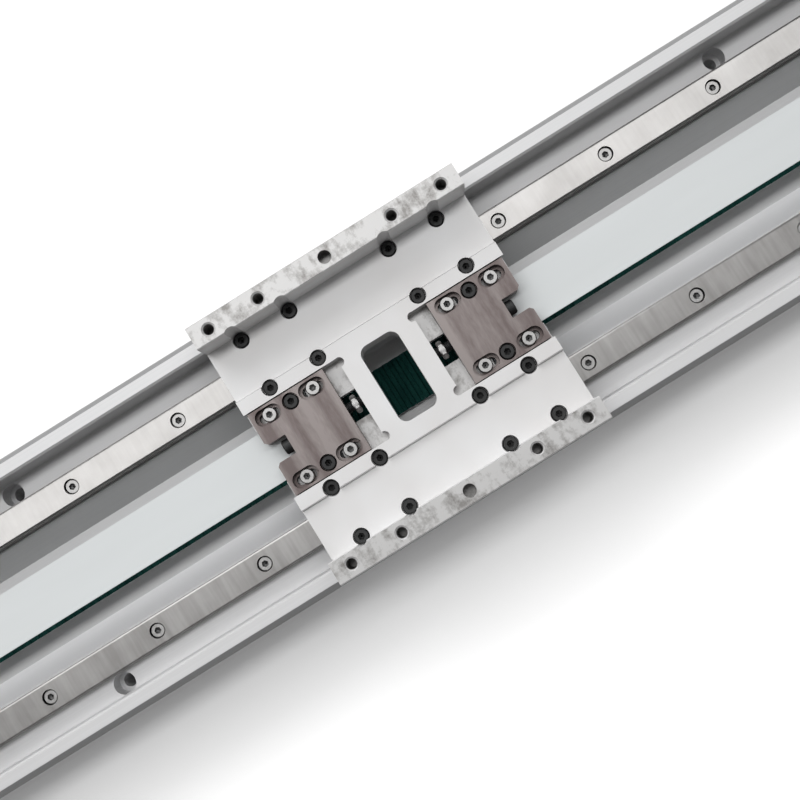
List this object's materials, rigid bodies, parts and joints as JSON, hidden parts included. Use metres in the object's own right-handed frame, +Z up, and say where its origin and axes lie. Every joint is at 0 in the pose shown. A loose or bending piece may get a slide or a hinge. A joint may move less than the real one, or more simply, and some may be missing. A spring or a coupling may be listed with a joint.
{
  "type": "belt driven linear axis",
  "caption": "Belt driven linear axis: a lipped carriage on ball rails in an extruded channel base, pulled by a toothed belt over a driven and an idling pulley.",
  "frame": {"origin": "middle of the base extrusion's flat underside", "axes": "+X along the axis towards the driven end, +Y to the left side where the drive shaft comes out, +Z up from the base towards the carriage's lips"},
  "size_m": [0.744, 0.1616, 0.086],
  "materials": {
    "anodised_profile": "satin anodised",
    "carriage_aluminium": "fine milled",
    "clamp_aluminium": "brown anodised, milled",
    "jaw_aluminium": "milled",
    "housing_aluminium": "satin anodised",
    "rail_steel": "ground",
    "block_steel": "ground",
    "block_plastic": "moulded",
    "seal_rubber": "matte",
    "black_screw": "black oxide",
    "bright_screw": "zinc plated",
    "belt_polyurethane": "smooth back, toothed inside",
    "pulley_aluminium": "turned",
    "shaft_steel": "ground",
    "bearing_steel": "ground",
    "stop_rubber": "matte",
    "plug_plastic": "moulded"
  },
  "bodies": {
    "base": {"base_extrusion": "anodised_profile", "rail_left": "rail_steel", "rail_right": "rail_steel", "rail_screws": "bright_screw", "toothed_belt": "belt_polyurethane", "drive_housing": "housing_aluminium", "drive_end_cover": "housing_aluminium", "drive_housing_screws": "black_screw", "drive_cover_screws": "black_screw", "drive_bearing_outer": "bearing_steel", "stop_drive_left": "stop_rubber", "stop_drive_right": "stop_rubber", "idler_housing": "housing_aluminium", "idler_end_cover": "housing_aluminium", "idler_housing_screws": "black_screw", "idler_cover_screws": "black_screw", "idler_bearing_outer": "bearing_steel", "stop_idler_left": "stop_rubber", "stop_idler_right": "stop_rubber", "idler_plug": "plug_plastic"},
    "carriage": {"carriage_plate": "carriage_aluminium", "plate_screws": "black_screw", "clamp_screws": "bright_screw", "block_body_drive_left": "block_steel", "block_caps_drive_left": "block_plastic", "block_seals_drive_left": "seal_rubber", "block_body_drive_right": "block_steel", "block_caps_drive_right": "block_plastic", "block_seals_drive_right": "seal_rubber", "block_body_idler_left": "block_steel", "block_caps_idler_left": "block_plastic", "block_seals_idler_left": "seal_rubber", "block_body_idler_right": "block_steel", "block_caps_idler_right": "block_plastic", "block_seals_idler_right": "seal_rubber"},
    "belt_clamp_at_drive": {"belt_clamp_drive": "clamp_aluminium", "clamp_jaw_drive": "jaw_aluminium", "belt_bolts_drive": "black_screw", "tension_screw_drive": "black_screw", "lock_nut_drive": "bright_screw"},
    "belt_clamp_at_idler": {"belt_clamp_idler": "clamp_aluminium", "clamp_jaw_idler": "jaw_aluminium", "belt_bolts_idler": "black_screw", "tension_screw_idler": "black_screw", "lock_nut_idler": "bright_screw"},
    "drive_pulley_set": {"drive_pulley": "pulley_aluminium", "drive_pulley_flanges": "pulley_aluminium", "drive_shaft": "shaft_steel", "drive_spacers": "shaft_steel", "drive_bearing_inner": "bearing_steel", "drive_key": "shaft_steel"},
    "idler_pulley_set": {"idler_pulley": "pulley_aluminium", "idler_pulley_flanges": "pulley_aluminium", "idler_shaft": "shaft_steel", "idler_spacers": "shaft_steel", "idler_bearing_inner": "bearing_steel"}
  },
  "joints": [
    {"name": "carriage_slide", "type": "slide", "parent": "base", "child": "carriage", "axis": [1, 0, 0], "range_m": [-0.22, 0.26], "deforming": ["toothed_belt"]},
    {"name": "clamp_slide_drive", "type": "slide", "parent": "carriage", "child": "belt_clamp_at_drive", "axis": [1, 0, 0], "range_m": [-0.0015, 0.002], "deforming": ["toothed_belt"]},
    {"name": "clamp_slide_idler", "type": "slide", "parent": "carriage", "child": "belt_clamp_at_idler", "axis": [-1, 0, 0], "range_m": [-0.0015, 0.002], "deforming": ["toothed_belt"]},
    {"name": "drive_pulley_spin", "type": "hinge", "parent": "base", "child": "drive_pulley_set", "pos_m": [0.3425, 0, 0.0402], "axis": [0, 1, 0], "continuous": true},
    {"name": "idler_pulley_spin", "type": "hinge", "parent": "base", "child": "idler_pulley_set", "pos_m": [-0.3425, 0, 0.0402], "axis": [0, 1, 0], "continuous": true}
  ],
  "couplings": [
    {"joint": "drive_pulley_spin", "follows": "carriage_slide", "rad_per_m": 62.832},
    {"joint": "idler_pulley_spin", "follows": "carriage_slide", "rad_per_m": 62.832}
  ]
}
